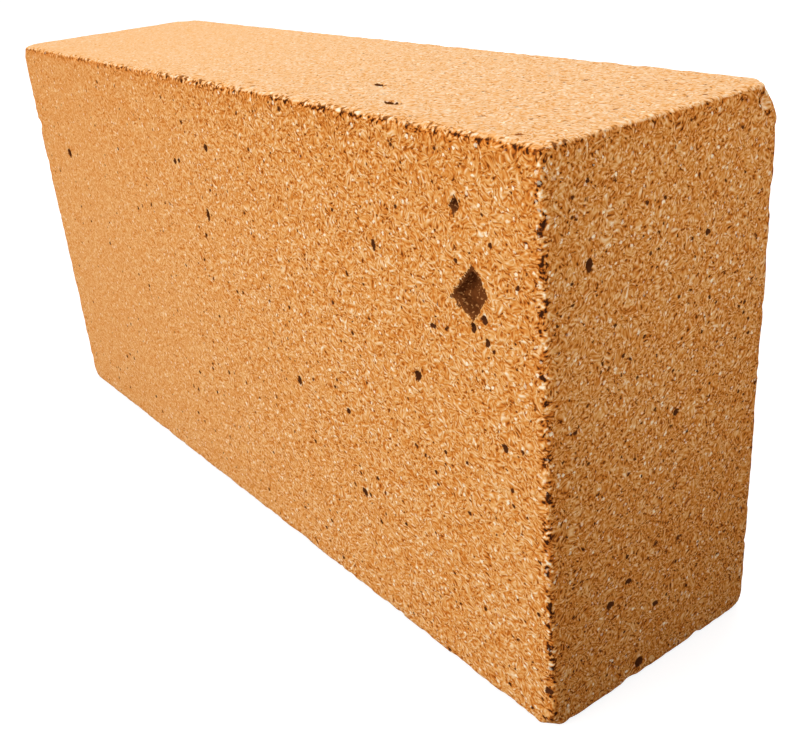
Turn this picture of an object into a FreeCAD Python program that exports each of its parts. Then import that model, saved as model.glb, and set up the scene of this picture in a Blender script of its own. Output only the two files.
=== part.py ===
"""A standard refractory firebrick, standing on its long narrow side.

The brick is one pressed and fired block, so it is one body. Its driving dimensions, in millimetres,
are in the sheet, and every sketch and feature takes its sizes from there.
X runs along the brick, Y through its thickness and Z up. The origin is the middle of the underside.
The front, at -Y, is the large side with the burnt-out pits, and the right end is at +X.
"""

import FreeCAD
import Part
import os
import Sketcher

SIZES = {
    # The block as it leaves the mould
    "brick_length": 250.0,
    "brick_width": 124.0,
    "brick_thickness": 64.0,
    "arris_radius": 1.5,
    # The corner broken off at the top of the right end, behind: how far the fracture reaches along each edge
    "break_along": 5.5,
    "break_through": 5.4,
    "break_down": 8.0,
    # The step at the top of that fracture
    "ledge_along": 6.2,
    "ledge_through": 5.2,
    "ledge_height": 1.6,
    # The corner knocked off at the foot of the right end, in front
    "knock_along": 4.0,
    "knock_through": 4.0,
    "knock_up": 4.0,
    # The thin flake spalled off the upper front edge of the left end, likewise
    "spall_along": 1.8,
    "spall_through": 5.0,
    "spall_down": 24.5,
    # The large pit, a kite in outline, whose walls close in towards its floor
    "pit_from_end": 19.5,
    "pit_above_base": 93.0,
    "pit_width": 10.6,
    "pit_rise": 6.6,
    "pit_fall": 5.4,
    "pit_depth": 3.2,
    "pit_floor_width": 6.6,
    "pit_floor_rise": 4.0,
    "pit_floor_fall": 3.4,
    # The small pit above it
    "nick_from_end": 22.8,
    "nick_above_base": 110.6,
    "nick_width": 2.6,
    "nick_rise": 1.8,
    "nick_fall": 1.8,
    "nick_depth": 1.8,
    "nick_floor_width": 1.3,
    "nick_floor_rise": 0.8,
    "nick_floor_fall": 0.8,
}
SHEET = "dimensions"

# Sketcher's own pair of numbers for a sketch's origin
ORIGIN = (-1, 1)

# The corners of the block that are damaged, as their ends of X, Y and Z
TOP_RIGHT_BACK = (1, 1, 1)
FOOT_RIGHT_FRONT = (1, -1, -1)
TOP_LEFT_FRONT = (-1, -1, 1)


def make_sheet(doc):
    """The sheet of driving dimensions, one named cell to a row."""
    sheet = doc.addObject("Spreadsheet::Sheet", SHEET)
    for row, (alias, size) in enumerate(SIZES.items(), start=1):
        sheet.set(f"A{row}", alias)
        sheet.set(f"B{row}", str(size))
        sheet.setAlias(f"B{row}", alias)
    doc.recompute()


def cell(size):
    """The expression that reads one size from the sheet."""
    return f"{SHEET}.{size}"


def start(line):
    """Sketcher's pair of numbers for the point where a line starts."""
    return line, 1


def end(line):
    """Sketcher's pair of numbers for the point where a line ends."""
    return line, 2


def new_sketch(body, name, role, x, y, z):
    """A sketch on the body's origin plane of that role, moved by expressions along the plane's own axes."""
    sketch = body.newObject("Sketcher::SketchObject", name)
    plane = next(feature for feature in body.Origin.OriginFeatures if feature.Role == role)
    sketch.AttachmentSupport = [(plane, "")]
    sketch.MapMode = "FlatFace"
    for axis, expression in (("x", x), ("y", y), ("z", z)):
        sketch.setExpression(f"AttachmentOffset.Base.{axis}", expression)
    return sketch


def draw_loop(sketch, corners):
    """A closed loop of straight lines through rough corner places, for constraints and dimensions to hold."""
    points = [FreeCAD.Vector(x, y, 0) for x, y in corners]
    count = len(points)
    for i in range(count):
        sketch.addGeometry(Part.LineSegment(points[i], points[(i + 1) % count]))
    for i in range(count):
        sketch.addConstraint(Sketcher.Constraint("Coincident", *end(i), *start((i + 1) % count)))


def dimension(sketch, name, kind, first, second, expression):
    """A named dimension from one sketch point to another, tied to the sheet."""
    run = sketch.getPoint(*second) - sketch.getPoint(*first)
    rough_size = run.x if kind == "DistanceX" else run.y
    index = sketch.addConstraint(Sketcher.Constraint(kind, *first, *second, rough_size))
    sketch.renameConstraint(index, name)
    sketch.setExpression(f"Constraints.{name}", expression)


def draw_rectangle(sketch, across, up):
    """A rectangle about the sketch's origin, with its two sizes as expressions."""
    draw_loop(sketch, [(-1, -1), (1, -1), (1, 1), (-1, 1)])
    for line in (0, 2):
        sketch.addConstraint(Sketcher.Constraint("Horizontal", line))
    for line in (1, 3):
        sketch.addConstraint(Sketcher.Constraint("Vertical", line))
    sketch.addConstraint(Sketcher.Constraint("Symmetric", *start(0), *end(1), *ORIGIN))
    dimension(sketch, "across", "DistanceX", start(0), end(0), across)
    dimension(sketch, "up", "DistanceY", start(1), end(1), up)


def draw_kite(sketch, width, rise, fall):
    """A kite with its side tips level with the sketch's origin and its other tips above and below it."""
    draw_loop(sketch, [(1, 0), (0, 1), (-1, 0), (0, -1)])
    sketch.addConstraint(Sketcher.Constraint("Symmetric", *start(0), *end(1), *ORIGIN))
    sketch.addConstraint(Sketcher.Constraint("Horizontal", *start(0), *ORIGIN))
    sketch.addConstraint(Sketcher.Constraint("Vertical", *end(0), *ORIGIN))
    sketch.addConstraint(Sketcher.Constraint("Vertical", *end(2), *ORIGIN))
    dimension(sketch, "width", "DistanceX", end(1), start(0), width)
    dimension(sketch, "rise", "DistanceY", ORIGIN, end(0), rise)
    dimension(sketch, "fall", "DistanceY", end(2), ORIGIN, fall)


def pad_block(body):
    """The block: its large side, standing on the base line, padded equally to the front and the back."""
    middle = f"{cell('brick_width')} / 2"
    sketch = new_sketch(body, "LargeSide", "XZ_Plane", "0 mm", middle, "0 mm")
    draw_rectangle(sketch, cell("brick_length"), cell("brick_width"))
    pad = body.newObject("PartDesign::Pad", "Block")
    pad.Profile = sketch
    pad.Midplane = True
    pad.setExpression("Length", cell("brick_thickness"))
    return pad


def round_arrises(body, block):
    """Every edge of the block, rounded as the mould and handling leave it."""
    fillet = body.newObject("PartDesign::Fillet", "Arrises")
    fillet.Base = (block, [f"Edge{i + 1}" for i in range(len(block.Shape.Edges))])
    fillet.setExpression("Radius", cell("arris_radius"))


def corner_place(corner):
    """Expressions for the place of a corner of the block, before its edges are rounded."""
    x_end, y_end, z_end = corner
    return (
        f"{x_end} * {cell('brick_length')} / 2",
        f"{y_end} * {cell('brick_thickness')} / 2",
        cell("brick_width") if z_end > 0 else "0 mm",
    )


def break_corner(body, name, corner, reaches):
    """A flat fracture across a corner, through one point on each of the three edges that meet there.

    reaches names the sizes from the corner to those points, along X, Y and Z. The sketch lies in the fracture
    with its normal turned upwards: a corner at the top is cut along it and one at the foot against it.
    """
    x_end, y_end, z_end = corner
    along, through, upright = (cell(reach) for reach in reaches)
    x_part = f"{x_end * z_end} mm / {along}"
    y_part = f"{y_end * z_end} mm / {through}"
    z_part = f"1 mm / {upright}"
    level_part = f"sqrt(({x_part})^2 + ({y_part})^2)"
    x, y, z = corner_place(corner)
    sketch = new_sketch(body, name + "Face", "XY_Plane", f"{x} - {x_end} * {along}", y, z)
    sketch.setExpression("AttachmentOffset.Rotation.Yaw", f"atan2({y_part}; {x_part})")
    sketch.setExpression("AttachmentOffset.Rotation.Pitch", f"atan2({level_part}; {z_part})")
    reach_past = f"2 * ({along} + {through} + {upright})"
    draw_rectangle(sketch, reach_past, reach_past)
    pocket = body.newObject("PartDesign::Pocket", name)
    pocket.Profile = sketch
    pocket.Reversed = z_end > 0
    pocket.setExpression("Length", reach_past)


def flake_edge(body, name, corner, along, through, height):
    """A flake off an upright edge, from the top down to a flat step.

    Seen from above it is the corner of the block out to a straight line, which meets the block's sides at
    along and through from the corner. The triangle that cuts it stands out from both sides.
    """
    x_end, y_end, _ = corner
    along, through = cell(along), cell(through)
    sketch = new_sketch(body, name + "Outline", "XY_Plane", *corner_place(corner))
    draw_loop(sketch, [(x_end, y_end), (-2 * x_end, y_end), (x_end, -2 * y_end)])
    sketch.addConstraint(Sketcher.Constraint("Horizontal", 0))
    sketch.addConstraint(Sketcher.Constraint("Vertical", 2))
    outer, inner_along, inner_through = start(0), end(0), start(2)
    for axis, sign, inner, size in (("X", x_end, inner_along, along), ("Y", y_end, inner_through, through)):
        kind = f"Distance{axis}"
        out, leg = ((ORIGIN, outer), (inner, outer)) if sign > 0 else ((outer, ORIGIN), (outer, inner))
        dimension(sketch, f"out{axis}", kind, *out, size)
        dimension(sketch, f"leg{axis}", kind, *leg, f"3 * {size}")
    pocket = body.newObject("PartDesign::Pocket", name)
    pocket.Profile = sketch
    pocket.setExpression("Length", cell(height))


def sink_pit(body, name, prefix):
    """A kite-shaped pit in the front, lofted from its mouth to a smaller floor.

    prefix starts the names of its sizes.
    """
    x = f"{cell('brick_length')} / 2 - {cell(prefix + '_from_end')}"
    front = f"{cell('brick_thickness')} / 2"
    depth = cell(prefix + "_depth")
    outlines = []
    for part, sizes, y in (("Mouth", prefix, front), ("Floor", f"{prefix}_floor", f"{front} - {depth}")):
        sketch = new_sketch(body, name + part, "XZ_Plane", x, cell(f"{prefix}_above_base"), y)
        draw_kite(sketch, *(cell(f"{sizes}_{size}") for size in ("width", "rise", "fall")))
        outlines.append(sketch)
    mouth, floor = outlines
    loft = body.newObject("PartDesign::SubtractiveLoft", name)
    loft.Profile = mouth
    loft.Sections = [floor]
    loft.Ruled = True


def check(doc, body):
    """Stops the build if a feature failed, a cut took nothing away or the solid is unsound."""
    for item in doc.Objects:
        if {"Invalid", "Error"} & set(item.State):
            raise RuntimeError(f"{item.Name} failed: {item.State}")
    features = [item for item in body.Group if item.isDerivedFrom("PartDesign::Feature")]
    for before, after in zip(features, features[1:]):
        if not after.Shape.Volume < before.Shape.Volume:
            raise RuntimeError(f"{after.Name} took nothing away")
    if body.Shape.isNull() or not body.Shape.isValid() or len(body.Shape.Solids) != 1:
        raise RuntimeError("the brick is not one sound solid")


def main():
    """Builds the brick and writes it as a STEP file named by its label."""
    doc = FreeCAD.newDocument("refractory_brick")
    make_sheet(doc)
    body = doc.addObject("PartDesign::Body", "Firebrick")
    body.Label = "firebrick"
    block = pad_block(body)
    doc.recompute()
    round_arrises(body, block)
    break_corner(body, "CornerBreak", TOP_RIGHT_BACK, ("break_along", "break_through", "break_down"))
    flake_edge(body, "BreakLedge", TOP_RIGHT_BACK, "ledge_along", "ledge_through", "ledge_height")
    break_corner(body, "KnockedCorner", FOOT_RIGHT_FRONT, ("knock_along", "knock_through", "knock_up"))
    break_corner(body, "EdgeSpall", TOP_LEFT_FRONT, ("spall_along", "spall_through", "spall_down"))
    sink_pit(body, "LargePit", "pit")
    sink_pit(body, "SmallPit", "nick")
    doc.recompute()
    check(doc, body)
    os.makedirs("parts", exist_ok=True)
    body.Shape.exportStep(f"parts/{body.Label}.step")
    print(f"{body.Label}: {body.Shape.Volume / 1000:.1f} cm3, {body.Shape.BoundBox}")


main()
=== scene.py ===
"""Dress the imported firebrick: its crumbling arrises, pores and matted grain, its fired-clay finish and its studio.

Lengths in the classes and node trees are millimetres unless a name says otherwise. Blender's own are metres.
X runs along the brick, Y through its thickness, with the front at -Y, and Z up from the underside.
"""

from __future__ import annotations

import logging
import math
from collections.abc import Callable
from dataclasses import dataclass, field
from enum import Enum

import bpy
from mathutils import Matrix, Vector

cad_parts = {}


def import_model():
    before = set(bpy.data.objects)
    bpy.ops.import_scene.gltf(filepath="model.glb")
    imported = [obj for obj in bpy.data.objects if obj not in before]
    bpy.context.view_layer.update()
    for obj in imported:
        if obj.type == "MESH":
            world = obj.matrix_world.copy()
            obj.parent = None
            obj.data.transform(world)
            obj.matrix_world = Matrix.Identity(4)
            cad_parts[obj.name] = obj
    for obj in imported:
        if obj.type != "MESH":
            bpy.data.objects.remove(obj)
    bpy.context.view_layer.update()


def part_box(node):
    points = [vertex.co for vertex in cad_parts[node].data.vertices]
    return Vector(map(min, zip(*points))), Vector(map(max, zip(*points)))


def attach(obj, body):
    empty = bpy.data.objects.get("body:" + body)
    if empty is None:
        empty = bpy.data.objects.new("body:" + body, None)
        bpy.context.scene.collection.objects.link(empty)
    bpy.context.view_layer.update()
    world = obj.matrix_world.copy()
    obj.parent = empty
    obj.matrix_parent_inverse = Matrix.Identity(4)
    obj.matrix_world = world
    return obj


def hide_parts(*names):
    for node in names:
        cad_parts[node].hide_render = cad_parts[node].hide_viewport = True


LOG = logging.getLogger("firebrick")

NODE = "firebrick"
BODY = "root"
SLOT = "fired_clay"
MM = 0.001
PER_METRE = 1 / MM
NOISE_MIDDLE = 0.5

Floats = tuple[float, ...]
Stops = tuple[tuple[float, Floats], ...]
Socket = bpy.types.NodeSocket
Feed = Socket | float | Floats


class Face(Enum):
    """A side of the brick: the axes that run across, up and out of it, and which way the last one points."""

    FRONT = (0, 2, 1, -1)
    RIGHT_END = (1, 2, 0, 1)
    TOP = (0, 1, 2, 1)


class Corner(Enum):
    """A corner of the brick, as its ends of X, Y and Z."""

    TOP_RIGHT_BACK = (1, 1, 1)
    FOOT_RIGHT_FRONT = (1, -1, -1)
    TOP_LEFT_FRONT = (-1, -1, 1)


@dataclass(frozen=True)
class Pore:
    """An oval pore in a face. across and up are its middle's place, in the brick's frame."""

    face: Face
    across: float
    up: float
    width: float
    height: float
    depth: float


@dataclass(frozen=True)
class Pit:
    """A straight-sided pit in a face, where a lump burnt out, by its corners (across, up) in turn round it."""

    face: Face
    corners: tuple[Floats, ...]
    depth: float

    def sides(self) -> list[tuple[Vector, float]]:
        """Find the lines of its sides.

        Returns:
            For each side, the vector v and the number s that make v . p + s 0 in the pit's middle and 1 on the side.
        """
        across, up, _, _ = self.face.value
        points = [Vector(corner) for corner in self.corners]
        middle = sum(points, Vector((0.0, 0.0))) / len(points)
        lines = []
        for first, second in zip(points, points[1:] + points[:1]):
            run = second - first
            normal = Vector((run.y, -run.x))
            normal /= normal.dot(first - middle)
            line = Vector()
            line[across], line[up] = normal
            lines.append((line, -normal.dot(middle)))
        return lines


@dataclass(frozen=True)
class Chip:
    """A small rounded loss from an arris or a corner, by its middle, its sizes along X, Y and Z, and its depth.

    Its last value is painted light that makes the grain inside it paler, and painted shade that makes it darker
    where the value is negative.
    """

    place: Floats
    size: Floats
    depth: float
    painted_shading: float = 0.0

    def distance(self, spot: Spot) -> Socket:
        """Measure how far a point is from its middle, where its rim is at 1."""
        return spot.oval(self.place, tuple(2 / size for size in self.size))


@dataclass(frozen=True)
class Break:
    """A flat fracture across a corner, by how far it reaches along each of the three edges that meet there."""

    corner: Corner
    along: float
    through: float
    upright: float

    def plane(self, block: Block) -> tuple[Vector, Vector]:
        """Find the plane of the fracture.

        Args:
            block: The block that is broken.

        Returns:
            A point of the plane and its normal, which points away from the brick.
        """
        reaches = (self.along, self.through, self.upright)
        point = block.corner(self.corner)
        point.x -= self.corner.value[0] * self.along
        normal = Vector(sign / reach for sign, reach in zip(self.corner.value, reaches))
        return point, normal.normalized()


@dataclass(frozen=True)
class Flake:
    """A flake off an upright edge, from the top down to a flat step, by its reach along both sides."""

    corner: Corner
    along: float
    through: float
    height: float


@dataclass(frozen=True)
class Block:
    """The brick's plain box, in millimetres."""

    low: Vector
    high: Vector

    @classmethod
    def of_node(cls, node: str) -> Block:
        """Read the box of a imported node.

        Args:
            node: The node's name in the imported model.

        Returns:
            The node's box.
        """
        low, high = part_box(node)
        return cls(low * PER_METRE, high * PER_METRE)

    @property
    def middle(self) -> Vector:
        """The middle of the box."""
        return (self.low + self.high) / 2

    @property
    def extent(self) -> Vector:
        """The sizes of the box along X, Y and Z."""
        return self.high - self.low

    def corner(self, corner: Corner) -> Vector:
        """Find a corner of the box.

        Args:
            corner: Which corner.

        Returns:
            Its place.
        """
        return Vector(h if sign > 0 else l for l, h, sign in zip(self.low, self.high, corner.value))


class NodeBench:
    """Lays out nodes in a tree, for shaders or geometry."""

    SCALAR_RESULTS = {"LENGTH", "DOT_PRODUCT"}

    def __init__(self, tree: bpy.types.NodeTree) -> None:
        """Work on a tree."""
        self.tree = tree

    @classmethod
    def cleared(cls, owner: bpy.types.Material | bpy.types.World) -> NodeBench:
        """Empty the node tree of a material or a world, to work on it.

        Args:
            owner: The material or the world.

        Returns:
            The bench.
        """
        owner.use_nodes = True
        owner.node_tree.nodes.clear()
        return cls(owner.node_tree)

    def add(self, kind: str, inputs: dict[int | str, Feed] | None = None, **settings: object) -> bpy.types.Node:
        """Add a node.

        Args:
            kind: The node's type name.
            inputs: What its inputs get, by their names or places.
            settings: The node's own settings, by name.

        Returns:
            The new node.
        """
        node = self.tree.nodes.new(kind)
        for name, value in settings.items():
            setattr(node, name, value)
        for key, value in (inputs or {}).items():
            self.feed(node.inputs[key], value)
        return node

    def feed(self, socket: Socket, value: Feed) -> None:
        """Give an input its value.

        Args:
            socket: The input.
            value: Another node's output to link to it, or the constant to set on it.
        """
        if isinstance(value, Socket):
            self.tree.links.new(value, socket)
        else:
            socket.default_value = value

    def math(self, operation: str, *values: Feed) -> Socket:
        """Work out a number by an operation of the Math node."""
        return self.add("ShaderNodeMath", dict(enumerate(values)), operation=operation).outputs["Value"]

    def vector(self, operation: str, *values: Feed) -> Socket:
        """Work out a vector, or a number from vectors, by an operation of the Vector Math node."""
        result = "Value" if operation in self.SCALAR_RESULTS else "Vector"
        return self.add("ShaderNodeVectorMath", dict(enumerate(values)), operation=operation).outputs[result]

    def split(self, vector: Feed) -> tuple[Socket, ...]:
        """Take a vector apart into its X, Y and Z."""
        return tuple(self.add("ShaderNodeSeparateXYZ", {0: vector}).outputs)

    def ramp(self, value: Feed, start: Feed, stop: Feed, low: float = 0.0, high: float = 1.0) -> Socket:
        """Ease from one value to another over a range.

        Args:
            value: What is measured.
            start: Where the result is low.
            stop: Where the result is high. It may lie below start.
            low: The result at start and before it.
            high: The result at stop and past it.

        Returns:
            The eased value.
        """
        inputs = {"Value": value, "From Min": start, "From Max": stop, "To Min": low, "To Max": high}
        return self.add("ShaderNodeMapRange", inputs, interpolation_type="SMOOTHSTEP").outputs["Result"]

    def mix_colours(self, factor: Feed, first: Feed, second: Feed) -> Socket:
        """Mix two colours.

        Args:
            factor: 0 for the first, 1 for the second.
            first: The first colour.
            second: The second colour.

        Returns:
            The mixed colour.
        """
        node = self.add("ShaderNodeMix", data_type="RGBA")
        by_identifier = {socket.identifier: socket for socket in node.inputs}
        for name, fed in {"Factor_Float": factor, "A_Color": first, "B_Color": second}.items():
            self.feed(by_identifier[name], fed)
        return next(socket for socket in node.outputs if socket.identifier == "Result_Color")

    def colour_ramp(self, value: Feed, stops: Stops) -> Socket:
        """Turn a value into a colour.

        Args:
            value: The value, from 0 to 1.
            stops: The colours, each with the value where it stands.

        Returns:
            The colour.
        """
        node = self.add("ShaderNodeValToRGB", {"Fac": value})
        elements = node.color_ramp.elements
        while len(elements) < len(stops):
            elements.new(1.0)
        for element, (place, colour) in zip(elements, stops):
            element.position = place
            element.color = colour
        return node.outputs["Color"]


class Spot(NodeBench):
    """The point that nodes look at, with the bench that they go on."""

    def __init__(self, tree: bpy.types.NodeTree, position: Socket) -> None:
        """Look at a point in a tree."""
        super().__init__(tree)
        self.position = position

    def moved(self, position: Socket) -> Spot:
        """Look at another point in the same tree."""
        return Spot(self.tree, position)

    def axes(self) -> tuple[Socket, ...]:
        """Take the point apart into its X, Y and Z."""
        return self.split(self.position)

    def noise(self, size: float, detail: float = 2.0, rough: float = 0.5, output: str = "Fac") -> Socket:
        """Read a noise texture.

        Args:
            size: The size of its features.
            detail: How many finer layers it has.
            rough: How strong the finer layers are.
            output: Fac for a number or Color for a vector.

        Returns:
            The noise, from 0 to 1.
        """
        inputs = {"Vector": self.position, "Scale": 1 / size, "Detail": detail, "Roughness": rough}
        return self.add("ShaderNodeTexNoise", inputs).outputs[output]

    def cells(self, size: float) -> tuple[Socket, Socket, Socket]:
        """Scatter one grain to a cell.

        Args:
            size: The size of a cell.

        Returns:
            The distance from the nearest grain's middle, and two chances of that grain, from 0 to 1.
        """
        node = self.add("ShaderNodeTexVoronoi", {"Vector": self.position, "Scale": 1 / size})
        first, second, _ = self.split(node.outputs["Color"])
        return self.math("MULTIPLY", node.outputs["Distance"], size), first, second

    def oval(self, middle: Floats | Vector, shares: Floats | Vector) -> Socket:
        """Measure how far the point is from the middle of an oval, whose rim is at 1.

        Args:
            middle: The oval's middle.
            shares: 1 over its reach along X, Y and Z.

        Returns:
            The distance.
        """
        shift = tuple(-place * share for place, share in zip(middle, shares))
        return self.vector("LENGTH", self.vector("MULTIPLY_ADD", self.position, tuple(shares), shift))

    def ragged(self, size: Floats, reach: float, detail: float) -> Spot:
        """Shift the point by a coarse noise, so that what is drawn there gets a ragged outline.

        Args:
            size: The size of the noise's features along X, Y and Z.
            reach: The full range of the shift.
            detail: How many finer layers the noise has.

        Returns:
            The shifted point.
        """
        scaled = self.moved(self.vector("DIVIDE", self.position, size))
        drift = scaled.noise(1.0, detail=detail, rough=0.6, output="Color")
        centred = self.vector("SUBTRACT", drift, (NOISE_MIDDLE,) * 3)
        return self.moved(self.vector("MULTIPLY_ADD", centred, (reach,) * 3, self.position))


@dataclass(frozen=True)
class Damage:
    """The brick's pits, pores, chips and arrises, as fields for geometry and shaders.

    pit_reach is how far a pit goes into the brick, and pore_reach is that of a pore, in its own depths. The handled
    values are ramps along X, Y and Z, the closer ones tell how much rarer pores are, and skin is how deep under a
    face its look starts and where it is full.
    """

    block: Block
    pits: tuple[Pit, ...]
    pores: tuple[Pore, ...]
    chips: tuple[Chip, ...]
    pit_reach: float = 40.0
    pore_reach: float = 3.0
    pit_ragged_size: Floats = (0.8, 20.0, 0.8)
    pit_ragged: float = 0.75
    pore_ragged_size: Floats = (0.8, 0.8, 0.8)
    pore_ragged: float = 1.3
    chance_cell: float = 3.4
    chance_share: float = 0.755
    chance_radii: Floats = (0.25, 0.80)
    handled_from: Floats = (-110.0, -16.0, 4.0)
    handled_to: Floats = (20.0, -29.0, 14.0)
    handled_least: Floats = (0.5, 0.3, 0.3)
    closer_ends: Floats = (50.0, -50.0)
    closer_left: float = 0.12
    closer_top: float = 0.14
    closer_end: float = 0.05
    skin: Floats = (2.0, 1.2)

    def arris_distances(self, spot: Spot) -> tuple[Socket, Socket]:
        """Measure how far a point of the surface is from the brick's arrises and corners.

        Args:
            spot: The point.

        Returns:
            The distances from the nearest arris and from the nearest corner.
        """
        off_middle = spot.vector("ABSOLUTE", spot.vector("SUBTRACT", spot.position, tuple(self.block.middle)))
        x, y, z = spot.split(spot.vector("SUBTRACT", tuple(self.block.extent / 2), off_middle))
        least = spot.math("MINIMUM", spot.math("MINIMUM", x, y), z)
        most = spot.math("MAXIMUM", spot.math("MAXIMUM", x, y), z)
        total = spot.math("ADD", spot.math("ADD", x, y), z)
        arris = spot.math("SUBTRACT", spot.math("SUBTRACT", total, least), most)
        return arris, most

    def ragged(self, spot: Spot) -> Spot:
        """Shift a point so that the outlines of pores and grains come out ragged."""
        return spot.ragged(self.pore_ragged_size, self.pore_ragged, detail=3.0)

    def pit_distances(self, spot: Spot) -> list[tuple[Pit, Socket]]:
        """Measure how far a point is from the middle of each pit, where its ragged sides are at about 1.

        Args:
            spot: The point.

        Returns:
            Each pit with its distance.
        """
        scaled = spot.moved(spot.vector("DIVIDE", spot.position, self.pit_ragged_size))
        uneven = spot.math("SUBTRACT", scaled.noise(1.0, detail=3.0, rough=0.65), NOISE_MIDDLE)
        found = []
        for pit in self.pits:
            _, _, out, side = pit.face.value
            level = Vector()
            level[out] = -side / self.pit_reach
            distance = spot.vector("DOT_PRODUCT", spot.position, tuple(level))
            distance = spot.math("ADD", distance, abs(self.face_level(pit.face)) / self.pit_reach)
            for line, start in pit.sides():
                across = spot.math("ADD", spot.vector("DOT_PRODUCT", spot.position, tuple(line)), start)
                distance = spot.math("MAXIMUM", distance, across)
            found.append((pit, spot.math("MULTIPLY_ADD", uneven, self.pit_ragged, distance)))
        return found

    def pore_distances(self, ragged: Spot) -> list[tuple[Pore, Socket]]:
        """Measure how far a point is from the middle of each placed pore, where its rim is at 1.

        Args:
            ragged: The point, shifted to give ragged outlines.

        Returns:
            Each pore with its distance.
        """
        found = []
        for pore in self.pores:
            across, up, out, _ = pore.face.value
            middle = Vector()
            middle[across] = pore.across
            middle[up] = pore.up
            middle[out] = self.face_level(pore.face)
            shares = Vector()
            shares[across] = 2 / pore.width
            shares[up] = 2 / pore.height
            shares[out] = 1 / (self.pore_reach * pore.depth)
            found.append((pore, ragged.oval(middle, shares)))
        return found

    def handled(self, spot: Spot) -> Socket:
        """Tell how much a point's arris has been knocked: most along the front, little elsewhere and at the foot.

        Args:
            spot: The point.

        Returns:
            1 where the arrises are worn most, falling to a small share.
        """
        ramps = zip(spot.axes(), self.handled_from, self.handled_to, self.handled_least)
        x_share, y_share, z_share = (spot.ramp(*ramp) for ramp in ramps)
        return spot.math("MULTIPLY", x_share, spot.math("MULTIPLY", y_share, z_share))

    def filled(self, spot: Spot) -> Socket:
        """Tell where the clay is closer and has fewer pores: towards the left, on the top, and a little on the ends.

        Args:
            spot: The point.

        Returns:
            How much rarer the pores are there, as a share of all cells.
        """
        leftward = spot.ramp(spot.axes()[0], *self.closer_ends, 0.0, self.closer_left)
        above = spot.math("MULTIPLY_ADD", self.on_top(spot), self.closer_top, leftward)
        return spot.math("MULTIPLY_ADD", self.on_end(spot), self.closer_end, above)

    def on_top(self, spot: Spot) -> Socket:
        """Tell the top, with 1, from all else, with 0."""
        return self.near_level(spot, spot.axes()[2], self.block.high.z)

    def on_end(self, spot: Spot) -> Socket:
        """Tell the two ends, with 1, from all else, with 0."""
        return self.near_level(spot, spot.math("ABSOLUTE", spot.axes()[0]), self.block.high.x)

    def near_level(self, bench: NodeBench, measure: Socket, level: float) -> Socket:
        """Tell what is close under a level, with 1, from what is deeper, with 0."""
        start, stop = self.skin
        return bench.ramp(measure, level - start, level - stop)

    def face_level(self, face: Face) -> float:
        """Find where a face lies along the axis that points out of it."""
        _, _, out, side = face.value
        return self.block.high[out] if side > 0 else self.block.low[out]

    def chance_pores(self, ragged: Spot) -> tuple[Socket, Socket]:
        """Scatter pores by chance over every face.

        Args:
            ragged: The point, shifted to give ragged outlines.

        Returns:
            How far inside the nearest pore's rim the point is, and 1 where that pore is open.
        """
        distance, chance, size = ragged.cells(self.chance_cell)
        small, large = self.chance_radii
        radius = ragged.math("MULTIPLY_ADD", ragged.math("POWER", size, 2.0), large - small, small)
        share = ragged.math("ADD", self.filled(ragged), self.chance_share)
        opened = ragged.math("GREATER_THAN", chance, share)
        return ragged.math("SUBTRACT", radius, distance), opened


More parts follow.
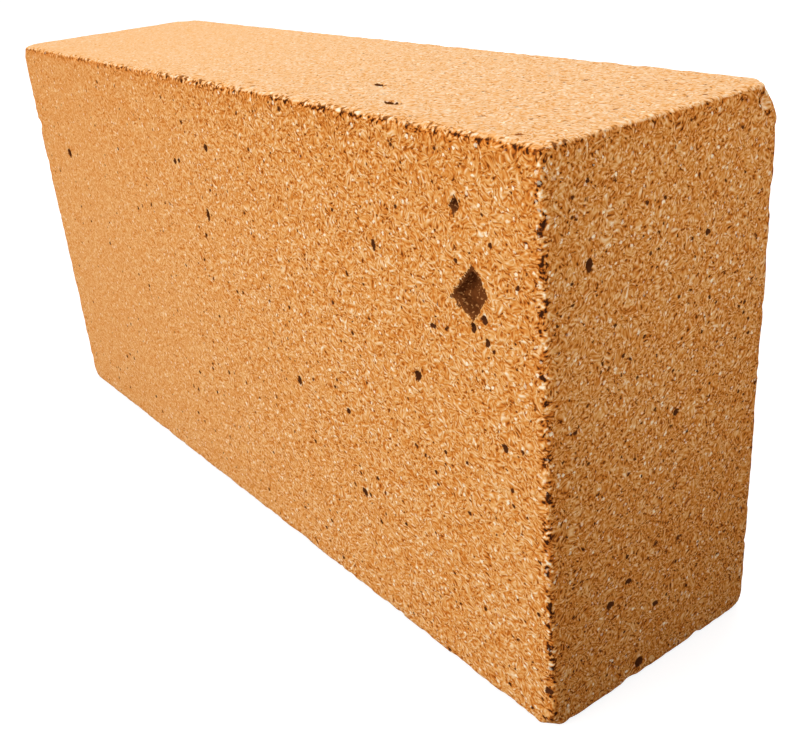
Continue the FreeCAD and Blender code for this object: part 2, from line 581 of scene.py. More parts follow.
@dataclass(frozen=True)
class Relief:
    """How far the fired surface lies below the mould's: its waves, lumps, grain and lost crumbs.

    proud is taken off the whole, so that the highest grains come close to the mould's surface. The walls are where a
    loss starts and where it is full, as distances from its middle or, for chance pores, into them.
    """

    damage: Damage
    wave: float = 0.30
    wave_size: float = 45.0
    lump: float = 0.16
    lump_size: float = 8.0
    grain: float = 0.22
    grain_size: float = 2.2
    arris_reach: Floats = (2.2, 0.2)
    arris_wear: float = 0.05
    bite: float = 1.1
    bite_size: float = 6.0
    bite_ramp: Floats = (0.42, 0.78)
    crumb: float = 0.9
    crumb_size: float = 2.0
    crumb_share: float = 0.68
    corner_reach: float = 4.0
    corner_wear: float = 0.4
    proud: float = 0.12
    chip_wall: Floats = (1.0, 0.35)
    chance_wall: Floats = (-0.1, 0.7)
    chance_depth: float = 0.9
    pore_wall: Floats = (1.05, 0.5)
    pit_wall: Floats = (0.96, 0.55)

    def loss(self, spot: Spot) -> Socket:
        """Add up what is missing at a point.

        Args:
            spot: The point.

        Returns:
            The depth below the mould's surface.
        """
        arris, corner = self.damage.arris_distances(spot)
        near_arris = spot.math("MULTIPLY", spot.ramp(arris, *self.arris_reach), self.damage.handled(spot))
        near_corner = spot.ramp(corner, self.corner_reach, 0.0)

        wave = spot.noise(self.wave_size, detail=1.0)
        lump = spot.noise(self.lump_size, detail=1.0)
        grain = spot.noise(self.grain_size, detail=2.0, rough=0.6)
        bite = spot.noise(self.bite_size, detail=3.0, rough=0.6)
        _, chance, _ = spot.cells(self.crumb_size)
        crumb = spot.ramp(chance, self.crumb_share, 1.0)

        worn = spot.math("MULTIPLY_ADD", spot.ramp(bite, *self.bite_ramp), self.bite, self.arris_wear)
        worn = spot.math("MULTIPLY_ADD", crumb, self.crumb, worn)
        terms = [
            spot.math("MULTIPLY", wave, self.wave),
            spot.math("MULTIPLY", lump, self.lump),
            spot.math("MULTIPLY", grain, self.grain),
            spot.math("MULTIPLY", worn, near_arris),
            spot.math("MULTIPLY", near_corner, self.corner_wear),
            self.chip_depth(spot),
            self.pore_depth(spot),
        ]
        total = -self.proud
        for term in terms:
            total = spot.math("ADD", total, term)
        return total

    def chip_depth(self, spot: Spot) -> Feed:
        """Work out how deep the chips are at a point.

        Args:
            spot: The point.

        Returns:
            The depth of the deepest one there.
        """
        deepest = 0.0
        for chip in self.damage.chips:
            depth = spot.ramp(chip.distance(spot), *self.chip_wall, 0.0, chip.depth)
            deepest = spot.math("MAXIMUM", deepest, depth)
        return deepest

    def pore_depth(self, spot: Spot) -> Socket:
        """Work out how deep the pits and pores are at a point.

        Args:
            spot: The point.

        Returns:
            The depth of the deepest one there.
        """
        ragged = self.damage.ragged(spot)
        inside, opened = self.damage.chance_pores(ragged)
        deepest = spot.math("MULTIPLY", spot.ramp(inside, *self.chance_wall, 0.0, self.chance_depth), opened)
        for pore, distance in self.damage.pore_distances(ragged):
            deepest = spot.math("MAXIMUM", deepest, spot.ramp(distance, *self.pore_wall, 0.0, pore.depth))
        for pit, distance in self.damage.pit_distances(spot):
            deepest = spot.math("MAXIMUM", deepest, spot.ramp(distance, *self.pit_wall, 0.0, pit.depth))
        return deepest

    def tree(self) -> bpy.types.NodeTree:
        """Build the geometry nodes that sink the surface by the loss.

        Returns:
            The node tree.
        """
        tree = bpy.data.node_groups.new("brick_relief", "GeometryNodeTree")
        for way in ("INPUT", "OUTPUT"):
            tree.interface.new_socket("Geometry", in_out=way, socket_type="NodeSocketGeometry")
        bench = NodeBench(tree)
        entry = bench.add("NodeGroupInput")
        place = bench.add("GeometryNodeInputPosition").outputs[0]
        normal = bench.add("GeometryNodeInputNormal").outputs[0]
        loss = self.loss(Spot(tree, bench.vector("MULTIPLY", place, (PER_METRE,) * 3)))
        depth = bench.math("MULTIPLY", loss, -MM)
        spread = bench.add("ShaderNodeCombineXYZ", dict.fromkeys(range(3), depth))
        offset = bench.vector("MULTIPLY", normal, spread.outputs[0])
        sink = bench.add("GeometryNodeSetPosition", {"Geometry": entry.outputs[0], "Offset": offset})
        bench.add("NodeGroupOutput", {0: sink.outputs["Geometry"]})
        return tree


@dataclass(frozen=True)
class FiredClay:
    """The finish of fired fireclay: matted grain, pale grog, burnt pores and worn arrises, with painted light and
    shade: a top paled by dust and by painted light, painted shade beside the arrises, under the top's edges and
    towards the ends' foot, and painted light and shade in the broken corner's hollow.

    A ramp is given by its two ends, and in some cases by its two results after them. Names in _end are what the
    brick's ends add.
    """

    damage: Damage
    grain_stops: Stops = (
        (0.18, (0.045, 0.014, 0.005, 1.0)),
        (0.30, (0.190, 0.046, 0.008, 1.0)),
        (0.40, (0.520, 0.135, 0.016, 1.0)),
        (0.50, (0.660, 0.228, 0.036, 1.0)),
        (0.58, (0.715, 0.310, 0.080, 1.0)),
        (0.66, (0.795, 0.405, 0.133, 1.0)),
        (0.78, (0.875, 0.570, 0.305, 1.0)),
        (0.95, (0.950, 0.810, 0.610, 1.0)),
    )
    grog: Floats = (0.97, 0.810, 0.570, 1.0)
    burnt: Floats = (0.084, 0.025, 0.008, 1.0)
    stained: Floats = (0.300, 0.085, 0.016, 1.0)
    charred: Floats = (0.155, 0.045, 0.011, 1.0)
    scorched: Floats = (0.520, 0.230, 0.075, 1.0)
    # The top's paler colours: part dust, part painted light where the top is lit most
    top_light_and_dust_stops: Stops = (
        (0.18, (0.260, 0.090, 0.026, 1.0)),
        (0.34, (0.660, 0.265, 0.062, 1.0)),
        (0.46, (0.805, 0.405, 0.137, 1.0)),
        (0.58, (0.810, 0.495, 0.260, 1.0)),
        (0.72, (0.815, 0.600, 0.390, 1.0)),
        (0.95, (0.920, 0.740, 0.540, 1.0)),
    )
    top_light_and_dust_share: float = 0.92
    top_light_and_dust_reach: Floats = (1.0, 0.6)
    drift_ends: Floats = (125.0, -60.0)
    drift: Floats = (0.006, 0.032)
    rise_heights: Floats = (65.0, 118.0)
    rise_drift: Floats = (0.0, -0.022)
    # Painted shade: the ends darken towards their foot
    end_heights: Floats = (112.0, 22.0)
    end_painted_shade: Floats = (-0.010, -0.074)
    calm_ends: Floats = (75.0, -105.0)
    calm: Floats = (1.0, 0.60)
    calm_dust: float = 0.17
    # A thin band of painted shade under the top's edges
    eaves_start: Floats = (120.6, 122.6)
    eaves_stop: Floats = (123.6, 123.0)
    eaves_painted_shade: float = -0.05
    curl_size: float = 2.6
    curl_reach: float = 1.7
    strand_widths: Floats = (0.47, 0.62)
    strand_length: float = 2.1
    strand_cell: float = 2.4
    layer_shift: Floats = (17.3, 5.9, 9.1)
    grog_cell: float = 1.5
    grog_radius: float = 0.19
    grog_radius_end: float = 0.02
    grog_spread: float = 0.22
    grog_rare: float = 0.68
    grog_rare_end: float = -0.49
    grog_fade: float = 0.18
    grog_arris: Floats = (0.6, 2.2, 0.4, 1.0)
    grog_edge: Floats = (-0.12, 0.12)
    chance_edge: Floats = (-0.20, 0.14)
    pinhole_cell: float = 1.9
    pinhole_radius: float = 0.21
    pinhole_spread: float = 0.24
    pinhole_rare: float = 0.77
    pinhole_rare_end: float = -0.06
    pinhole_edge: Floats = (-0.16, 0.14)
    dusted_pores: Floats = (0.0, 1.0, 1.0, 0.5)
    placed_edge: Floats = (1.18, 0.92)
    pit_edge: Floats = (1.06, 1.00)
    worn_size: float = 4.0
    worn_ramp: Floats = (0.35, 0.65, 1.0, 2.6)
    worn_reach: Floats = (2.4, 0.7)
    crumb_size: float = 1.1
    crumb_middle: Floats = (0.0, 1.0, 0.53, 0.555)
    # Painted shade in a band beside the handled arrises
    painted_arris_reach: Floats = (9.0, 1.5)
    painted_arris_shade: float = -0.022
    # Where the chips' painted light and painted shade fade out
    painted_shading_edge: Floats = (1.05, 0.65)
    ash_size: float = 0.6
    ash_ramp: Floats = (0.58, 0.70)
    stain_ramp: Floats = (0.0, 0.5)
    burn_ramp: Floats = (0.4, 1.0)
    grog_roughness: Floats = (0.0, 1.0, 0.92, 0.55)
    relief: float = 0.35
    gloss: float = 0.0

    def material(self) -> bpy.types.Material:
        """Build the material.

        Returns:
            The fired-clay material.
        """
        material = bpy.data.materials.new(SLOT)
        bench = NodeBench.cleared(material)
        place = bench.add("ShaderNodeTexCoord").outputs["Object"]
        spot = Spot(bench.tree, bench.vector("MULTIPLY", place, (PER_METRE,) * 3))
        ragged = self.damage.ragged(spot)

        grain = self.grouped(spot, "matted_grain", self.grain_level)
        grog = self.grouped(ragged, "pale_grog", self.grog_mask)
        pore = self.grouped(ragged, "burnt_pores", self.pore_mask)
        pit = self.grouped(spot, "burnt_pits", self.pit_mask)
        # Wear along the arrises, with painted shade beside them and under the top's edges
        wear_and_shade = self.grouped(spot, "arris_wear", self.wear_and_shade_level)
        # Painted light and painted shade in the broken corner's hollow
        painted_shading = self.grouped(spot, "chip_painted_shading", self.painted_shading_level)
        # The top's paling, part dust and part painted light
        dust_and_painted_light = self.grouped(spot, "top_dust_and_painted_light", self.top_light_and_dust_mask)

        x, _, z = spot.axes()
        calm = bench.ramp(x, *self.calm_ends, *self.calm)
        grain = bench.math("MULTIPLY_ADD", bench.math("SUBTRACT", grain, NOISE_MIDDLE), calm, NOISE_MIDDLE)
        grog = bench.math("MULTIPLY", grog, calm)
        dust_and_painted_light = bench.math("MAXIMUM", dust_and_painted_light, bench.ramp(x, *self.calm_ends, 0.0, self.calm_dust))
        drift = bench.ramp(x, *self.drift_ends, *self.drift)
        drift = bench.math("ADD", drift, bench.ramp(z, *self.rise_heights, *self.rise_drift))
        # Painted shade on the ends, darker towards their foot
        end_painted_shade = bench.ramp(z, *self.end_heights, *self.end_painted_shade)
        drift = bench.math("MULTIPLY_ADD", self.damage.on_end(spot), end_painted_shade, drift)
        level = bench.math("ADD", bench.math("ADD", grain, bench.math("ADD", wear_and_shade, painted_shading)), drift)

        colour = bench.colour_ramp(level, self.grain_stops)
        colour = bench.mix_colours(dust_and_painted_light, colour, bench.colour_ramp(level, self.top_light_and_dust_stops))
        colour = bench.mix_colours(grog, colour, self.grog)
        ash = bench.ramp(spot.noise(self.ash_size, detail=1.0), *self.ash_ramp)
        colour = bench.mix_colours(pit, colour, bench.mix_colours(ash, self.charred, self.scorched))
        colour = bench.mix_colours(bench.ramp(pore, *self.stain_ramp), colour, self.stained)
        colour = bench.mix_colours(bench.ramp(pore, *self.burn_ramp), colour, self.burnt)

        bump = bench.add("ShaderNodeBump", {"Distance": self.relief * MM, "Height": grain})
        looks = {
            "Base Color": colour,
            "Roughness": bench.ramp(grog, *self.grog_roughness),
            "Specular IOR Level": self.gloss,
            "Normal": bump.outputs["Normal"],
        }
        shader = bench.add("ShaderNodeBsdfPrincipled", looks)
        bench.add("ShaderNodeOutputMaterial", {"Surface": shader.outputs["BSDF"]})
        return material

    @staticmethod
    def grouped(spot: Spot, name: str, lay_out: Callable[[Spot], Feed]) -> Socket:
        """Work a number out in a node group of its own.

        Args:
            spot: The point that it reads.
            name: The group's name.
            lay_out: What lays out its nodes, from the point inside it.

        Returns:
            The number.
        """
        tree = bpy.data.node_groups.new(name, "ShaderNodeTree")
        tree.interface.new_socket("Position", in_out="INPUT", socket_type="NodeSocketVector")
        tree.interface.new_socket("Value", in_out="OUTPUT", socket_type="NodeSocketFloat")
        inner = NodeBench(tree)
        entry = inner.add("NodeGroupInput").outputs["Position"]
        inner.add("NodeGroupOutput", {"Value": lay_out(Spot(tree, entry))})
        return spot.add("ShaderNodeGroup", {"Position": spot.position}, node_tree=tree).outputs["Value"]

    def grain_level(self, spot: Spot) -> Socket:
        """Lay the matted grain: two layers of short strands that lie every way, pale on top and brown between.

        Args:
            spot: The point.

        Returns:
            The grain's level, about the noise's middle.
        """
        curled = spot.ragged((self.curl_size,) * 3, self.curl_reach, detail=0.0)
        beneath = spot.moved(spot.vector("ADD", curled.position, self.layer_shift))
        layers = [self.strands(layer, width) for layer, width in zip((curled, beneath), self.strand_widths)]
        return spot.math("MAXIMUM", *layers)

    def strands(self, spot: Spot, width: float) -> Socket:
        """Lay one layer of strands, in patches that each lie their own way.

        Args:
            spot: The point.
            width: The width of a strand and of the gap beside it.

        Returns:
            The layer's level.
        """
        patch = spot.add("ShaderNodeTexVoronoi", {"Vector": spot.position, "Scale": 1 / self.strand_cell})
        angles = spot.vector("MULTIPLY", patch.outputs["Color"], (math.tau,) * 3)
        inputs = {"Vector": spot.position, "Center": patch.outputs["Position"], "Rotation": angles}
        turned = spot.add("ShaderNodeVectorRotate", inputs, rotation_type="EULER_XYZ").outputs[0]
        drawn_out = (1 / width, 1 / width, 1 / self.strand_length)
        return spot.moved(spot.vector("MULTIPLY", turned, drawn_out)).noise(1.0, detail=0.0)

    def grog_mask(self, ragged: Spot) -> Socket:
        """Scatter the pale grains of crushed fired clay, fainter on the arrises.

        Args:
            ragged: The point, shifted to give ragged outlines.

        Returns:
            1 in a grain and 0 elsewhere.
        """
        distance, chance, size = ragged.cells(self.grog_cell)
        on_end = self.damage.on_end(ragged)
        least = ragged.math("MULTIPLY_ADD", on_end, self.grog_radius_end, self.grog_radius)
        inside = ragged.math("SUBTRACT", ragged.math("MULTIPLY_ADD", size, self.grog_spread, least), distance)
        rare = ragged.math("MULTIPLY_ADD", on_end, self.grog_rare_end, self.grog_rare)
        shown = ragged.ramp(chance, rare, ragged.math("ADD", rare, self.grog_fade))
        arris, _ = self.damage.arris_distances(ragged)
        shown = ragged.math("MULTIPLY", shown, ragged.ramp(arris, *self.grog_arris))
        return ragged.math("MULTIPLY", ragged.ramp(inside, *self.grog_edge), shown)

    def pore_mask(self, ragged: Spot) -> Socket:
        """Mask the placed pores, the chance pores and the pinholes between them.

        Args:
            ragged: The point, shifted to give ragged outlines.

        Returns:
            1 in a pore and 0 elsewhere.
        """
        inside, opened = self.damage.chance_pores(ragged)
        pore = ragged.math("MULTIPLY", ragged.ramp(inside, *self.chance_edge), opened)
        distance, chance, size = ragged.cells(self.pinhole_cell)
        radius = ragged.math("MULTIPLY_ADD", size, self.pinhole_spread, self.pinhole_radius)
        inside = ragged.math("SUBTRACT", radius, distance)
        rare = ragged.math("MULTIPLY_ADD", self.damage.on_end(ragged), self.pinhole_rare_end, self.pinhole_rare)
        opened = ragged.math("GREATER_THAN", chance, ragged.math("ADD", rare, self.damage.filled(ragged)))
        pinhole = ragged.math("MULTIPLY", ragged.ramp(inside, *self.pinhole_edge), opened)
        dusted = ragged.ramp(self.damage.on_top(ragged), *self.dusted_pores)
        pore = ragged.math("MULTIPLY", ragged.math("MAXIMUM", pore, pinhole), dusted)
        for _, distance in self.damage.pore_distances(ragged):
            pore = ragged.math("MAXIMUM", pore, ragged.ramp(distance, *self.placed_edge))
        return pore

    def pit_mask(self, spot: Spot) -> Feed:
        """Mask the large pits.

        Args:
            spot: The point.

        Returns:
            1 in a pit and 0 elsewhere.
        """
        pit = 0.0
        for _, distance in self.damage.pit_distances(spot):
            pit = spot.math("MAXIMUM", pit, spot.ramp(distance, *self.pit_edge))
        return pit

    def wear_and_shade_level(self, spot: Spot) -> Socket:
        """Work out the coarser, harsher grain along the arrises, the painted shade beside them, and the painted
        shade under the top's edges.

        Args:
            spot: The point.

        Returns:
            What is added to the grain's level.
        """
        arris, _ = self.damage.arris_distances(spot)
        handled = self.damage.handled(spot)
        worn = spot.math("MULTIPLY", spot.ramp(spot.noise(self.worn_size, detail=0.0), *self.worn_ramp), handled)
        near = spot.math("MULTIPLY", spot.ramp(arris, *self.worn_reach), worn)
        middle = spot.ramp(self.damage.on_top(spot), *self.crumb_middle)
        uneven = spot.math("SUBTRACT", spot.noise(self.crumb_size, detail=1.0), middle)
        crumbs = spot.math("MULTIPLY", uneven, near)
        # Painted shade in a band beside the handled arrises
        painted_arris_band = spot.math("MULTIPLY", spot.ramp(arris, *self.painted_arris_reach), handled)
        crumbs = spot.math("MULTIPLY_ADD", painted_arris_band, self.painted_arris_shade, crumbs)
        # Painted shade in a thin band under the top's edges
        height = spot.axes()[2]
        eaves = (spot.ramp(height, *ends) for ends in (self.eaves_start, self.eaves_stop))
        return spot.math("MULTIPLY_ADD", spot.math("MULTIPLY", *eaves), self.eaves_painted_shade, crumbs)

    def painted_shading_level(self, spot: Spot) -> Feed:
        """Work out the painted light and painted shade of the chips.

        Args:
            spot: The point.

        Returns:
            What is added to the grain's level.
        """
        painted_shading = 0.0
        for chip in self.damage.chips:
            if chip.painted_shading:
                tone = spot.ramp(chip.distance(spot), *self.painted_shading_edge, 0.0, chip.painted_shading)
                painted_shading = spot.math("ADD", painted_shading, tone)
        return painted_shading

    def top_light_and_dust_mask(self, spot: Spot) -> Socket:
        """Lay the top's paling, part dust and part painted light: its share on the top, and 0 elsewhere."""
        start, stop = (self.damage.block.high.z - reach for reach in self.top_light_and_dust_reach)
        return spot.ramp(spot.axes()[2], start, stop, 0.0, self.top_light_and_dust_share)


@dataclass
class Firebrick:
    """The brick: one pressed and fired block, with its damage."""

    block: Block
    relief: Relief
    finish: FiredClay
    breaks: tuple[Break, ...]
    flakes: tuple[Flake, ...]
    arris_radius: float = 0.8
    voxel: float = 0.5
    triangles: int = 196_000
    piece: bpy.types.Object = field(init=False)

    def build(self) -> bpy.types.Object:
        """Model the brick and dress it.

        Returns:
            The finished piece.
        """
        self.press_block()
        for flake in self.flakes:
            self.strike_flake(flake)
        self.refine()
        self.piece.data.materials.clear()
        self.piece.data.materials.append(self.finish.material())
        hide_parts(NODE)
        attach(self.piece, BODY)
        return self.piece

    def press_block(self) -> None:
        """Make the block with its rounded arrises, and break its corners off."""
        self.piece = self.add_box(self.block.middle, self.block.extent)
        self.piece.name = "fired_brick"
        bpy.ops.object.mode_set(mode="EDIT")
        bpy.ops.mesh.select_all(action="SELECT")
        bpy.ops.mesh.bevel(offset=self.arris_radius * MM, segments=3, affect="EDGES")
        for broken in self.breaks:
            point, normal = broken.plane(self.block)
            bpy.ops.mesh.select_all(action="SELECT")
            bpy.ops.mesh.bisect(plane_co=point * MM, plane_no=normal, use_fill=True, clear_outer=True)
        bpy.ops.object.mode_set(mode="OBJECT")

    def strike_flake(self, flake: Flake) -> None:
        """Cut a flake off an upright edge.

        Args:
            flake: The flake.
        """
        x_end, y_end, _ = flake.corner.value
        corner = self.block.corner(flake.corner)
        outward = Vector((x_end / flake.along, y_end / flake.through, 0.0)).normalized()
        side = 4 * max(flake.along, flake.through)
        on_line = corner - Vector((x_end * flake.along, 0.0, 0.0))
        along_line = Vector((-outward.y, outward.x, 0.0))
        on_line += along_line * (corner - on_line).dot(along_line)
        middle = on_line + outward * side / 2
        middle.z = corner.z - flake.height + side / 2
        cutter = self.add_box(middle, Vector((side, side, side)), math.atan2(outward.y, outward.x))
        bpy.ops.object.select_all(action="DESELECT")
        self.piece.select_set(True)
        bpy.context.view_layer.objects.active = self.piece
        cut = self.piece.modifiers.new("flake", "BOOLEAN")
        cut.operation = "DIFFERENCE"
        cut.solver = "EXACT"
        cut.object = cutter
        bpy.ops.object.modifier_apply(modifier=cut.name)
        bpy.data.objects.remove(cutter)

    def refine(self) -> None:
        """Give the block its fine mesh and relief, clear the creases, and thin the mesh where it is plain."""
        self.remesh()
        worn = self.piece.modifiers.new("relief", "NODES")
        worn.node_group = self.relief.tree()
        bpy.ops.object.modifier_apply(modifier=worn.name)
        self.remesh()
        thin = self.piece.modifiers.new("thin", "DECIMATE")
        thin.use_collapse_triangulate = True
        thin.ratio = min(1.0, self.triangles / self.triangle_count())
        bpy.ops.object.modifier_apply(modifier=thin.name)
        bpy.ops.object.shade_smooth()
        LOG.info("%s has %d triangles", self.piece.name, self.triangle_count())

    def remesh(self) -> None:
        """Mesh the piece afresh in even steps, which drops what crosses itself."""
        remesh = self.piece.modifiers.new("fine_mesh", "REMESH")
        remesh.mode = "VOXEL"
        remesh.voxel_size = self.voxel * MM
        bpy.ops.object.modifier_apply(modifier=remesh.name)

    def triangle_count(self) -> int:
        """Count the piece's triangles."""
        return sum(len(polygon.vertices) - 2 for polygon in self.piece.data.polygons)

    @staticmethod
    def add_box(middle: Vector, extent: Vector, turn: float = 0.0) -> bpy.types.Object:
        """Add a box whose place is in its mesh.

        Args:
            middle: Its middle.
            extent: Its sizes.
            turn: Its turn about Z, in radians.

        Returns:
            The box, alone selected and active.
        """
        bpy.ops.object.select_all(action="DESELECT")
        bpy.ops.mesh.primitive_cube_add(size=1.0, location=middle * MM, rotation=(0.0, 0.0, turn))
        box = bpy.context.object
        box.scale = extent * MM
        bpy.ops.object.transform_apply(location=True, rotation=True, scale=True)
        return box


@dataclass(frozen=True)
class Softbox:
    """A square studio lamp. Lengths are metres, and spread is the angle of its beam, in degrees."""

    name: str
    place: Floats
    aim: Floats
    side: float
    watts: float
    spread: float = 180.0

    def light(self) -> None:
        """Hang the lamp."""
        bpy.ops.object.light_add(type="AREA", location=self.place)
        lamp = bpy.context.object
        lamp.name = self.name
        lamp.data.size = self.side
        lamp.data.energy = self.watts
        lamp.data.spread = math.radians(self.spread)
        lamp.visible_camera = False
        lamp.rotation_euler = (Vector(self.aim) - Vector(self.place)).to_track_quat("-Z", "Y").to_euler()


@dataclass(frozen=True)
class Viewpoint:
    """Where the photograph was taken from: place and aim in millimetres, roll in degrees, lens in pixels."""

    place: Floats = (242.7, -144.6, 163.2)
    aim: Floats = (81.3, -32.0, 70.1)
    roll: float = 5.08
    focal_pixels: float = 1030.4
    photo_width: float = 800.0

    def shoot(self) -> None:
        """Set the camera up."""
        bpy.ops.object.camera_add(location=Vector(self.place) * MM)
        camera = bpy.context.object
        camera.data.sensor_fit = "HORIZONTAL"
        camera.data.lens = self.focal_pixels * camera.data.sensor_width / self.photo_width
        camera.data.clip_start = 0.01
        level = (Vector(self.aim) - Vector(self.place)).to_track_quat("-Z", "Y").to_matrix()
        rolled = level @ Matrix.Rotation(-math.radians(self.roll), 3, "Z")
        camera.rotation_euler = rolled.to_euler()
        bpy.context.scene.camera = camera


@dataclass(frozen=True)
class Studio:
    """The pale floor, the soft lamps, the white surround and the camera. Lengths are metres."""

    lamps: tuple[Softbox, ...] = (
        Softbox("key_lamp", (-0.15, -1.12, 0.58), (0.0, 0.0, 0.06), side=0.5, watts=8.4),
        Softbox("front_lamp", (0.30, -1.20, 0.20), (0.05, 0.0, 0.04), side=0.9, watts=7.8),
        Softbox("top_lamp", (-0.10, 0.10, 0.90), (0.0, 0.0, 0.10), side=0.6, watts=4.7),
        Softbox("end_lamp", (0.45, 0.02, 0.20), (0.125, 0.01, 0.13), side=0.2, watts=0.085, spread=50.0),
        Softbox("rear_lamp", (-0.60, 1.00, 0.55), (0.0, 0.0, 0.06), side=0.9, watts=8.0),
    )
    view: Viewpoint = Viewpoint()
    floor_side: float = 6.0
    floor_colour: Floats = (0.30, 0.30, 0.30, 1.0)
    surround: float = 0.15
    floor_white: Floats = (0.86, 1.0)
    floor_fade: Floats = (0.25, 0.60)

    def set_up(self) -> None:
        """Build the studio around the brick."""
        scene = bpy.context.scene
        scene.view_settings.view_transform = "Standard"
        for lamp in self.lamps:
            lamp.light()
        self.lay_floor()
        self.surround_world()
        self.view.shoot()

    def lay_floor(self) -> None:
        """Lay the floor, which the camera sees as white with a faint shadow."""
        bpy.ops.object.select_all(action="DESELECT")
        bpy.ops.mesh.primitive_plane_add(size=self.floor_side)
        floor = bpy.context.object
        floor.name = "studio_floor"
        material = bpy.data.materials.new("studio_floor")
        bench = NodeBench.cleared(material)
        matte = bench.add("ShaderNodeBsdfDiffuse", {"Color": self.floor_colour})
        away = bench.vector("LENGTH", bench.add("ShaderNodeTexCoord").outputs["Object"])
        level = bench.ramp(away, *self.floor_fade, *self.floor_white)
        strength = bench.math("MULTIPLY", self.seen_directly(bench), level)
        white = bench.add("ShaderNodeEmission", {"Strength": strength})
        mixed = bench.add("ShaderNodeAddShader", {0: matte.outputs[0], 1: white.outputs[0]})
        bench.add("ShaderNodeOutputMaterial", {"Surface": mixed.outputs[0]})
        floor.data.materials.append(material)

    def surround_world(self) -> None:
        """Light the brick faintly from all round, and show white behind it."""
        world = bpy.data.worlds.new("studio_surround")
        bpy.context.scene.world = world
        bench = NodeBench.cleared(world)
        fill, white = (
            bench.add("ShaderNodeBackground", {"Color": (1.0, 1.0, 1.0, 1.0), "Strength": strength})
            for strength in (self.surround, 1.0)
        )
        inputs = {0: self.seen_directly(bench), 1: fill.outputs[0], 2: white.outputs[0]}
        mixed = bench.add("ShaderNodeMixShader", inputs)
        bench.add("ShaderNodeOutputWorld", {"Surface": mixed.outputs[0]})

    @staticmethod
    def seen_directly(bench: NodeBench) -> Socket:
        """Tell what the camera, gloss or glass sees from what only lights the brick.

        Args:
            bench: Where the nodes go.

        Returns:
            1 for camera, glossy and transmission rays.
        """
        path = bench.add("ShaderNodeLightPath")
        seen = path.outputs["Is Camera Ray"]
        for name in ("Is Glossy Ray", "Is Transmission Ray"):
            seen = bench.math("MAXIMUM", seen, path.outputs[name])
        return seen


PLACED_PITS = (
    # The large burnt-out pit, and the lozenge above it
    Pit(Face.FRONT, ((106.7, 100.0), (110.7, 94.4), (106.1, 88.7), (100.0, 92.3)), 3.0),
    Pit(Face.FRONT, ((102.6, 112.2), (103.7, 110.2), (102.1, 108.0), (100.9, 110.0)), 1.8),
)

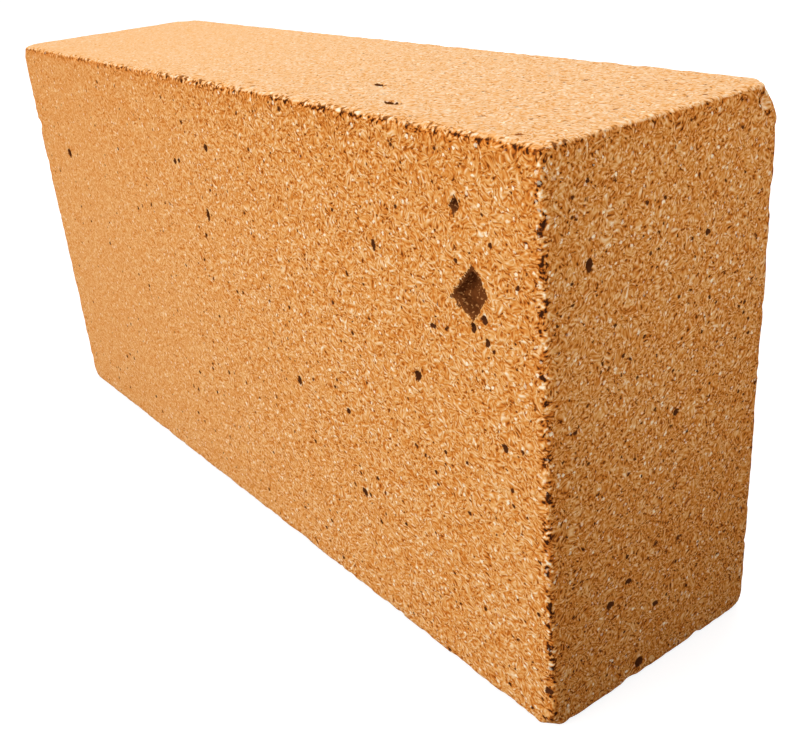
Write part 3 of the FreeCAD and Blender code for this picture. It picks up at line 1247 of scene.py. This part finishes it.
PLACED_PORES = (
    # Below the large pit
    Pore(Face.FRONT, 105.9, 87.2, 1.5, 2.0, 1.3),
    Pore(Face.FRONT, 109.2, 89.6, 1.6, 2.0, 1.3),
    Pore(Face.FRONT, 109.8, 85.2, 1.4, 1.7, 1.1),
    # Smaller pores of the front
    Pore(Face.FRONT, 93.8, 84.2, 2.0, 1.0, 1.0),
    Pore(Face.FRONT, 86.9, 70.8, 2.1, 2.2, 1.4),
    Pore(Face.FRONT, 75.3, 96.8, 1.2, 2.4, 1.0),
    Pore(Face.FRONT, 36.8, 52.9, 1.6, 2.3, 1.0),
    Pore(Face.FRONT, 4.4, 106.9, 1.9, 1.9, 1.2),
    Pore(Face.FRONT, -0.6, 88.4, 1.4, 3.4, 1.2),
    Pore(Face.FRONT, -15.6, 100.6, 1.6, 1.5, 1.0),
    Pore(Face.FRONT, -13.0, 101.2, 1.2, 1.1, 0.8),
    Pore(Face.FRONT, -99.0, 90.8, 2.8, 2.8, 1.4),
    Pore(Face.FRONT, 61.6, 31.0, 2.0, 2.0, 1.0),
    Pore(Face.FRONT, 113.5, 64.3, 1.6, 1.8, 1.0),
    Pore(Face.FRONT, 58.3, 52.0, 1.6, 1.4, 0.9),
    Pore(Face.FRONT, 123.8, 11.0, 2.2, 1.7, 0.5),
    # The end's pores
    Pore(Face.RIGHT_END, -20.5, 100.9, 1.7, 2.4, 1.2),
    Pore(Face.RIGHT_END, 4.3, 62.5, 1.6, 1.5, 1.0),
    Pore(Face.RIGHT_END, 11.7, 98.6, 1.3, 1.3, 1.0),
    Pore(Face.RIGHT_END, -14.3, 24.2, 2.0, 1.7, 1.2),
    Pore(Face.RIGHT_END, -0.1, 17.2, 1.8, 1.4, 1.0),
    Pore(Face.RIGHT_END, -9.0, 27.5, 1.9, 1.3, 1.0),
    Pore(Face.RIGHT_END, -4.9, 3.6, 2.5, 2.6, 1.4),
    # The slits of the top
    Pore(Face.TOP, 55.0, -11.9, 4.2, 1.6, 1.0),
    Pore(Face.TOP, 73.7, -22.7, 5.2, 1.8, 1.2),
)

PLACED_BREAKS = (
    # The broken corner, the knocked one, and the thin spall at the left
    Break(Corner.TOP_RIGHT_BACK, along=5.5, through=5.4, upright=8.0),
    Break(Corner.FOOT_RIGHT_FRONT, along=4.0, through=4.0, upright=4.0),
    Break(Corner.TOP_LEFT_FRONT, along=1.8, through=5.0, upright=24.5),
)

PLACED_FLAKES = (
    # The step at the top of the broken corner
    Flake(Corner.TOP_RIGHT_BACK, along=6.2, through=5.2, height=1.6),
)

PLACED_CHIPS = (
    # The hollow of the broken corner under its step, paled by painted light, with its dark rim of painted shade
    Chip((125.0, 27.7, 120.4), (8.0, 3.0, 5.0), 1.4, painted_shading=0.15),
    Chip((125.0, 26.1, 120.6), (7.0, 2.2, 4.6), 0.9, painted_shading=-0.22),
    Chip((125.0, 28.2, 118.0), (7.0, 1.8, 1.5), 0.7, painted_shading=-0.20),
    # Under the spall at the left, and the left end's two upper corners
    Chip((-125.0, -32.0, 97.6), (7.0, 9.0, 4.4), 1.2),
    Chip((-125.0, -32.0, 124.0), (9.0, 9.0, 9.0), 0.9),
    Chip((-125.0, 32.0, 124.0), (12.0, 12.0, 10.0), 1.1),
    # Along the foot of the right end
    Chip((125.0, 14.5, 0.0), (4.0, 4.0, 3.0), 0.5),
    Chip((125.0, -8.0, 0.0), (5.0, 5.0, 3.0), 0.6),
)


def main() -> None:
    """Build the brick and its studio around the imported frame."""
    logging.basicConfig(level=logging.INFO, format="%(name)s: %(message)s")
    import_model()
    block = Block.of_node(NODE)
    damage = Damage(block, PLACED_PITS, PLACED_PORES, PLACED_CHIPS)
    brick = Firebrick(block, Relief(damage), FiredClay(damage), PLACED_BREAKS, PLACED_FLAKES)
    piece = brick.build()
    LOG.info("%s stands for %s", piece.name, NODE)
    Studio().set_up()


if __name__ == "__main__":
    main()
